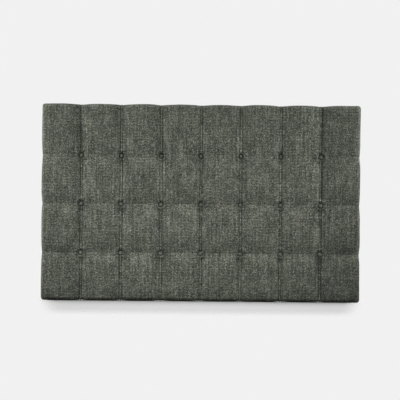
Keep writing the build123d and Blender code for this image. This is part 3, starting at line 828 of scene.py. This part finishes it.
# Covered buttons: a domed metal shell with the tweed stretched over it and gathered in small folds under its
# rim. The twines pull each one down into its pit, and no two sit quite alike.
button_base = -button_high.y
button_height = button_high.y - button_low.y
button_underside = 0.0016
tuck_count, tuck_depth_share = 13, 0.01
cloth_rim_share = 0.93
button_tilt = radians(2.5)
one_button = start_from(bpy.ops.mesh.primitive_uv_sphere_add, segments=32, ring_count=16, radius=1)
unit, button_faces = take_shape(one_button)
around = np.arctan2(unit[:, 1], unit[:, 0])
level = np.abs(unit[:, 2])
tucks = 1 - tuck_depth_share * np.clip(1 - level * 2.2, 0, 1) * (1 + np.cos(tuck_count * around))
dome = np.where(unit[:, 2] > 0, button_height * level**0.9, -button_underside * level**0.4)
rim = cloth_rim_share * button_radius * np.hypot(unit[:, 0], unit[:, 1]) ** 0.95 * tucks
button_shape = np.stack([rim * np.cos(around), -button_base - dome, rim * np.sin(around)], axis=1)
button_seat = np.array([0, -button_base, 0])
button_tweed = finish_tweed("tweed_button", False)
for row_name, row_z in zip(tuft_nodes, tuft_rows):
    row_shapes = []
    for index, seam_x in enumerate(seam_columns):
        tilt = Matrix.Rotation(button_tilt * sin(5 * index + 90 * row_z), 3, "X")
        tilted = (button_shape - button_seat) @ np.array(tilt).T + button_seat
        row_shapes.append(tilted + np.array([seam_x, 0, row_z]))
    covered = join_copies(f"covered_{row_name}", np.array(row_shapes), button_faces)
    bpy.ops.object.shade_smooth()
    put_in_place(covered, row_name, button_tweed)

# Twines and toggles: waxed twine runs from each button through the foam and the board, and is tied round a
# moulded nylon bar behind it. Both stay as they are built.
waxed, tree, shader = new_finish("waxed_twine")
strands = twisted_strands(tree, 220.0, 0.6)
fill(tree, shader, {
    "Base Color": colour_ramp(tree, strands, [(0.1, (0.3, 0.26, 0.18)), (0.8, (0.62, 0.57, 0.44))]),
    "Normal": relief(tree, strands, 0.6, 0.0005),
    "Roughness": 0.6,
})
dress(["tufting_twines"], waxed)

nylon, tree, shader = new_finish("moulded_nylon")
flow = noise_at(tree, own_place(tree), 90.0, 4.0)["Fac"]
fill(tree, shader, {
    "Base Color": colour_ramp(tree, flow, [(0.3, (0.66, 0.66, 0.62)), (0.7, (0.76, 0.76, 0.72))]),
    "Roughness": spread(tree, flow, to_range=(0.35, 0.55)),
})
dress(["twine_toggles"], nylon)

# Dust cover: black non-woven cloth, cut a little smaller than the back, drawn over the edge of the cover's
# return and stapled. It hangs a little slack in the openings of the frame.
dust_low, dust_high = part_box("dust_cover")
dust_middle_z = (dust_low.z + dust_high.z) / 2
dust_edge_depth = -dust_high.y
dust_thickness = 0.0003
dust_outer_depth = dust_edge_depth + dust_thickness
dust_inner_depth = -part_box("frame_top_rail")[1].y - 0.0005
border_width, border_slope = 0.015, 0.006
slack_depth, slack_reach = 0.009, 0.09
rail_low, rail_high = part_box("hanging_rail")
rail_margin = 0.01
dust_sheet, x, z = lay_grid(
    "dust_sheet", np.linspace(dust_low.x, dust_high.x, 231), np.linspace(dust_high.z, dust_low.z, 141)
)
from_edge = np.minimum(dust_high.x - np.abs(x), (dust_high.z - dust_low.z) / 2 - np.abs(z - dust_middle_z))
on_frame = ramp(from_edge, border_width, border_width + border_slope)
upright_low, upright_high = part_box("frame_right_upright")
outer_span = np.minimum(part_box("frame_right_stile")[0].x - np.abs(x), np.abs(x) - upright_high.x)
in_width = np.maximum(outer_span, upright_low.x - np.abs(x))
in_height = np.minimum(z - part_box("frame_bottom_rail")[1].z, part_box("frame_top_rail")[0].z - z)
in_opening = ramp(np.minimum(in_height, in_width), 0, slack_reach)
sag = slack_depth * (1 + 0.6 * soft_noise(x, z, (0.16, 0.22), seed=11.0))
drawn = 0.003 * soft_noise(x, z, (0.05, 0.3), seed=12.0) + 0.002 * soft_noise(x, z, (0.3, 0.06), seed=14.0)
ripple = 0.0004 * soft_noise(x, z, (0.03, 0.03), seed=13.0) * on_frame * ramp(from_edge, 0, 0.03)
from_rail = np.maximum.reduce([np.abs(x) - rail_high.x, rail_low.z - z, z - rail_high.z])
depth = dust_outer_depth + (dust_inner_depth - dust_outer_depth) * on_frame
depth += (sag + drawn) * in_opening + np.where(from_rail < rail_margin, 0, ripple)
write_points(dust_sheet.data, np.stack([x, -depth, z], axis=1))
apply_modifier(dust_sheet, "SOLIDIFY", thickness=dust_thickness, offset=0)
bpy.ops.object.shade_smooth()

non_woven, tree, shader = new_finish("non_woven_cloth")
where = own_place(tree)
fibre_haze = noise_at(tree, where, 700.0, 3.0, distortion=1.5)["Fac"]
black_fibres = colour_ramp(tree, fibre_haze, [(0.3, (0.018, 0.018, 0.019)), (0.7, (0.05, 0.05, 0.053))])
settled_dust = noise_at(tree, where, 7.0, 4.0)["Fac"]
bonds = place(tree, "ShaderNodeTexVoronoi", {"Vector": where, "Scale": 420.0, "Randomness": 0.15})["Distance"]
fill(tree, shader, {
    "Base Color": blend(tree, settled_dust, black_fibres, (0.07, 0.069, 0.067, 1)),
    "Normal": relief(tree, spread(tree, bonds, from_range=(0.2, 0.35)), 0.5, 0.0002),
    "Roughness": 0.85,
    "Sheen Weight": 0.15,
})
put_in_place(dust_sheet, "dust_cover", non_woven)

# Staples: galvanised wire with a square crown, shot by hand along the cover's return and the edge of the dust
# cover, so they lean a little. Those of the frame and the board are hidden and stay as they are built.
staple_crown = 0.011
staple_wire = 0.001
staple_leg = 0.007
staple_proud = 0.0003
hand_lean = 0.09
one_staple = start_from(bpy.ops.mesh.primitive_cube_add, size=1)
one_staple.scale = (staple_crown, staple_wire, staple_wire * 0.6)
bpy.ops.object.transform_apply(location=False, rotation=False, scale=True)
bpy.ops.object.mode_set(mode="EDIT")
bpy.ops.mesh.select_mode(type="FACE")
for end in (-1, 1):
    bpy.ops.mesh.select_all(action="SELECT")
    bpy.ops.mesh.bisect(plane_co=(end * (staple_crown / 2 - staple_wire), 0, 0), plane_no=(1, 0, 0))
bpy.ops.mesh.select_all(action="DESELECT")
bpy.ops.object.mode_set(mode="OBJECT")
for face in one_staple.data.polygons:
    face.select = face.normal.y < -0.9 and abs(face.center.x) > staple_crown / 2 - staple_wire
bpy.ops.object.mode_set(mode="EDIT")
bpy.ops.mesh.extrude_region_move(TRANSFORM_OT_translate={"value": (0, -staple_leg, 0)})
bpy.ops.object.mode_set(mode="OBJECT")
apply_modifier(one_staple, "BEVEL", width=0.00018, segments=1)
staple_shape = take_shape(one_staple)


def drive_in(name, shape, places, node_name, material):
    """Copies of a staple or screw, in place of a node. A place is x, depth, z and the turn about Y."""
    points, faces = shape
    copies = []
    for index, (x, depth, z, turn) in enumerate(places):
        lean = turn + hand_lean * noise.noise(Vector((31.7 * x, 17.3 * z, index)))
        copies.append(points @ np.array(Matrix.Rotation(lean, 3, "Y")).T + np.array([x, -depth, z]))
    driven = join_copies(name, np.array(copies), faces)
    put_in_place(driven, node_name, material)


def border_places(from_edge, depth, pitch):
    """Places along the four edges of the back, at one distance from the edge."""
    half_x = half_width - from_edge
    low_z, high_z = cover_low.z + from_edge, cover_high.z - from_edge
    across = np.linspace(-half_x + pitch / 2, half_x - pitch / 2, int(2 * half_x / pitch))
    upward = np.linspace(low_z + pitch / 2, high_z - pitch / 2, int((high_z - low_z) / pitch))
    places = [(x, depth, z, 0) for z in (low_z, high_z) for x in across]
    return places + [(x, depth, z, pi / 2) for x in (-half_x, half_x) for z in upward]


# A group for bare metal: long faint draw lines, and a dull bloom that varies with handling
metal_marks, marks_in, marks_out = new_group(
    "metal_marks",
    [
        ("Vector", "NodeSocketVector", None),
        ("Metal", "NodeSocketColor", (0.7, 0.7, 0.7, 1)),
        ("Dull metal", "NodeSocketColor", (0.5, 0.5, 0.5, 1)),
        ("Smooth", "NodeSocketFloat", 0.3),
        ("Dull", "NodeSocketFloat", 0.5),
    ],
    [("Color", "NodeSocketColor"), ("Roughness", "NodeSocketFloat"), ("Height", "NodeSocketFloat")],
)
across_lines = reckon_vector(metal_marks, "MULTIPLY", marks_in["Vector"], (1, 300, 300))
draw_lines = noise_at(metal_marks, across_lines, 5.0, 3.0)["Fac"]
handling = noise_at(metal_marks, marks_in["Vector"], 11.0, 6.0)["Fac"]
bloom = spread(metal_marks, handling, from_range=(0.35, 0.7))
fill(metal_marks, marks_out, {
    "Color": blend(metal_marks, bloom, marks_in["Metal"], marks_in["Dull metal"]),
    "Roughness": blend(metal_marks, bloom, marks_in["Smooth"], marks_in["Dull"], kind="FLOAT"),
    "Height": draw_lines,
})


def finish_metal(name, metal, dull_metal, smooth, dull, line_depth):
    """A bare metal finish, with the roughness of its smooth and of its dull places."""
    material, tree, shader = new_finish(name)
    given = {"Metal": (*metal, 1), "Dull metal": (*dull_metal, 1), "Smooth": smooth, "Dull": dull}
    marks = place(tree, "ShaderNodeGroup", {"Vector": own_place(tree), **given}, node_tree=metal_marks)
    fill(tree, shader, {
        "Base Color": marks["Color"],
        "Roughness": marks["Roughness"],
        "Normal": relief(tree, marks["Height"], 0.4, line_depth),
        "Metallic": 1,
    })
    return material


galvanised = finish_metal("galvanised_wire", (0.6, 0.6, 0.59), (0.42, 0.42, 0.41), 0.3, 0.5, 0.00002)
for name, node_name, from_edge, surface_depth, pitch in (
    ("return_staples", "cover_staples", 0.022, return_depth, 0.03),
    ("dust_sheet_staples", "dust_cover_staples", 0.038, dust_edge_depth, 0.05),
):
    places = border_places(from_edge, surface_depth - staple_proud, pitch)
    drive_in(name, staple_shape, places, node_name, galvanised)
dress(["frame_staples", "board_staples"], galvanised)

# Hooked rails: two lengths of one extruded aluminium section in mill finish. One is screwed to the back of
# the frame and drops into the other, which is screwed to the wall.
mill_finish = finish_metal("mill_finish", (0.5, 0.5, 0.51), (0.42, 0.42, 0.44), 0.4, 0.52, 0.00012)
dress(["hanging_rail", "wall_rail"], mill_finish)

# Screws: zinc-plated pan heads with a cross recess, five through the hanging rail and one in each bumper. A
# disc is drawn up into the head and down into the shank and its point, and the recess is cut out of the head.
screw_head_radius = 0.0042
screw_head_height = 0.0026
screw_length = 0.019
screw_point = 0.004
recess_span, recess_depth, recess_width = 0.0044, 0.0015, 0.0009
hanging_screw_columns = np.linspace(-0.5, 0.5, 5)
bumper_columns = np.array([-0.65, 0.65])
disc = {"vertices": 24, "radius": screw_head_radius, "fill_type": "NGON", "rotation": (pi / 2, 0, 0)}
one_screw = start_from(bpy.ops.mesh.primitive_circle_add, **disc)
bpy.ops.object.transform_apply(location=False, rotation=True, scale=False)
bpy.ops.object.mode_set(mode="EDIT")
bpy.ops.mesh.select_mode(type="FACE")
bpy.ops.mesh.select_all(action="SELECT")
for raised, narrowed_to in ((0.0010, 1.0), (0.0007, 0.93), (0.0005, 0.82), (0.0003, 0.72), (0.0001, 0.5)):
    bpy.ops.mesh.extrude_region_move(TRANSFORM_OT_translate={"value": (0, raised, 0)})
    bpy.ops.transform.resize(value=(narrowed_to, 1, narrowed_to), center_override=(0, 0, 0))
bpy.ops.mesh.select_all(action="DESELECT")
bpy.ops.object.mode_set(mode="OBJECT")
for face in one_screw.data.polygons:
    face.select = abs(face.center.y) < 1e-6
bpy.ops.object.mode_set(mode="EDIT")
for sunk, narrowed_to in ((0, 0.5), (screw_length - screw_point, 1.0), (screw_point, 0.15)):
    bpy.ops.mesh.extrude_region_move(TRANSFORM_OT_translate={"value": (0, -sunk, 0)})
    bpy.ops.transform.resize(value=(narrowed_to, 1, narrowed_to), center_override=(0, 0, 0))
bpy.ops.object.mode_set(mode="OBJECT")
face_outwards(one_screw)
for slot_size in (
    (recess_span, 2 * recess_depth, recess_width),
    (recess_width, 2 * recess_depth, recess_span),
):
    driver_slot = start_from(bpy.ops.mesh.primitive_cube_add, size=1, location=(0, screw_head_height, 0))
    driver_slot.scale = slot_size
    bpy.ops.object.transform_apply(location=True, rotation=False, scale=True)
    apply_modifier(one_screw, "BOOLEAN", operation="DIFFERENCE", object=driver_slot)
    bpy.data.objects.remove(driver_slot)
screw_shape = take_shape(one_screw)

zinc = finish_metal("zinc_plate", (0.66, 0.64, 0.58), (0.5, 0.48, 0.42), 0.25, 0.42, 0.00002)
for name, node_name, columns in (
    ("rail_screws", "hanging_rail_screws", hanging_screw_columns),
    ("pad_screws", "bumper_screws", bumper_columns),
):
    screws_low, screws_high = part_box(node_name)
    seat_depth = screw_head_height - screws_high.y
    screws_z = (screws_low.z + screws_high.z) / 2
    places = [(x, seat_depth, screws_z, 11.0 * index) for index, x in enumerate(columns)]
    drive_in(name, screw_shape, places, node_name, zinc)
    bpy.ops.object.shade_smooth_by_angle(angle=radians(35))

# Wall bumpers: two tapered pads of black rubber, moulded with a recess for the screw that holds each to the
# bottom rail. They stay as they are built.
rubber, tree, shader = new_finish("moulded_rubber")
where = own_place(tree)
scuffs = noise_at(tree, where, 120.0, 5.0)["Fac"]
moulded_grain = noise_at(tree, where, 1400.0, 2.0)["Fac"]
fill(tree, shader, {
    "Base Color": colour_ramp(tree, scuffs, [(0.4, (0.018, 0.018, 0.018)), (0.75, (0.05, 0.05, 0.048))]),
    "Normal": relief(tree, moulded_grain, 0.4, 0.0002),
    "Roughness": 0.75,
})
dress(["wall_bumpers"], rubber)

# Studio: a pale floor just under the headboard, which fades out to the pale background, soft lights at both
# sides and above, and a long lens square to the front, turned a little, as in the photograph.
pale = (0.88, 0.88, 0.88)
floor_half_width = 0.83
floor_reach = 1.9
side_fade_start, side_fade_taper = 0.72, -0.07
front_fade_start = 0.7
floor = start_from(bpy.ops.mesh.primitive_grid_add, x_subdivisions=2, y_subdivisions=2, size=2)
floor.name = "floor"
floor.scale = (floor_half_width, floor_reach / 2, 1)
floor.location = (0, -floor_reach / 2, cad_low.z - 0.001)
bpy.ops.object.transform_apply(location=True, rotation=True, scale=True)

floor_paint, tree, shader = new_finish("floor_paint")
floor_place = place(tree, "ShaderNodeSeparateXYZ", {"Vector": own_place(tree)})
sideways = reckon(tree, "ABSOLUTE", floor_place["X"])
tapered = reckon(tree, "MULTIPLY_ADD", floor_place["Y"], side_fade_taper, sideways)
fade_side = spread(
    tree, tapered, from_range=(floor_half_width, side_fade_start), interpolation_type="SMOOTHSTEP"
)
fade_front = spread(
    tree, floor_place["Y"], from_range=(-floor_reach, -front_fade_start), interpolation_type="SMOOTHSTEP"
)
fill(tree, shader, {
    "Base Color": (0.74, 0.74, 0.74, 1),
    "Roughness": 1,
    "Specular IOR Level": 0,
    "Alpha": reckon(tree, "MULTIPLY", fade_side, fade_front),
})
floor.data.materials.append(floor_paint)

ambient = 0.2
world = bpy.data.worlds.new("studio")
bpy.context.scene.world = world
world.use_nodes = True
tree = world.node_tree
seen = place(tree, "ShaderNodeLightPath")
camera_or_gloss = reckon(tree, "MAXIMUM", seen["Is Camera Ray"], seen["Is Glossy Ray"])
seen_at_all = reckon(tree, "MAXIMUM", camera_or_gloss, seen["Is Transmission Ray"])
strength = spread(tree, seen_at_all, to_range=(ambient, 1))
fill(tree, tree.nodes["Background"], {"Color": (*pale, 1), "Strength": strength})

# The side lamps are flagged off the floor, and the lamp overhead lights nothing but the floor
middle = (cad_low + cad_high) / 2
all_but_floor = bpy.data.collections.new("all_but_floor")
all_but_floor.objects.link(floor)
all_but_floor.collection_objects[0].light_linking.link_state = "EXCLUDE"
only_floor = bpy.data.collections.new("only_floor")
only_floor.objects.link(floor)
for light_name, offset, aim, size, spread_angle, power, lit in (
    ("left_softbox", (-3.0, -1.0, 1.25), (-0.3, 0, -0.06), (0.8, 1.0), 50, 13.6, all_but_floor),
    ("right_softbox", (3.0, -1.0, 1.25), (-0.34, 0, -0.14), (0.8, 1.0), 38, 8.2, all_but_floor),
    ("back_softbox", (2.8, 1.6, 1.3), (0, 0, 0), (0.8, 1.0), 60, 9, all_but_floor),
    ("overhead_softbox", (0, 0.3, 1.9), (0, 0.3, 0), (2.6, 1.6), 180, 74, only_floor),
):
    lamp = bpy.data.lights.new(light_name, "AREA")
    lamp.shape = "RECTANGLE"
    lamp.size, lamp.size_y = size
    lamp.spread = radians(spread_angle)
    lamp.energy = power
    stand = bpy.data.objects.new(light_name, lamp)
    bpy.context.collection.objects.link(stand)
    stand.location = middle + Vector(offset)
    stand.rotation_euler = (Vector(aim) - Vector(offset)).to_track_quat("-Z", "Y").to_euler()
    stand.light_linking.receiver_collection = lit

image_pixels = 400
metres_per_pixel = 0.005018
headboard_middle = (200.8, 203.0)
camera_distance = 14
camera_roll = radians(-0.52)
lens = bpy.data.cameras.new("camera")
lens.sensor_width = 36
lens.lens = lens.sensor_width * camera_distance / (image_pixels * metres_per_pixel)
lens.clip_end = 60
camera = bpy.data.objects.new("camera", lens)
bpy.context.collection.objects.link(camera)
aim_x = middle.x - (headboard_middle[0] - image_pixels / 2) * metres_per_pixel
aim_z = middle.z + (headboard_middle[1] - image_pixels / 2) * metres_per_pixel
camera.location = (aim_x, cad_low.y - camera_distance, aim_z)
camera.rotation_euler = (pi / 2, camera_roll, 0)
bpy.context.scene.camera = camera
bpy.context.scene.view_settings.view_transform = "Standard"
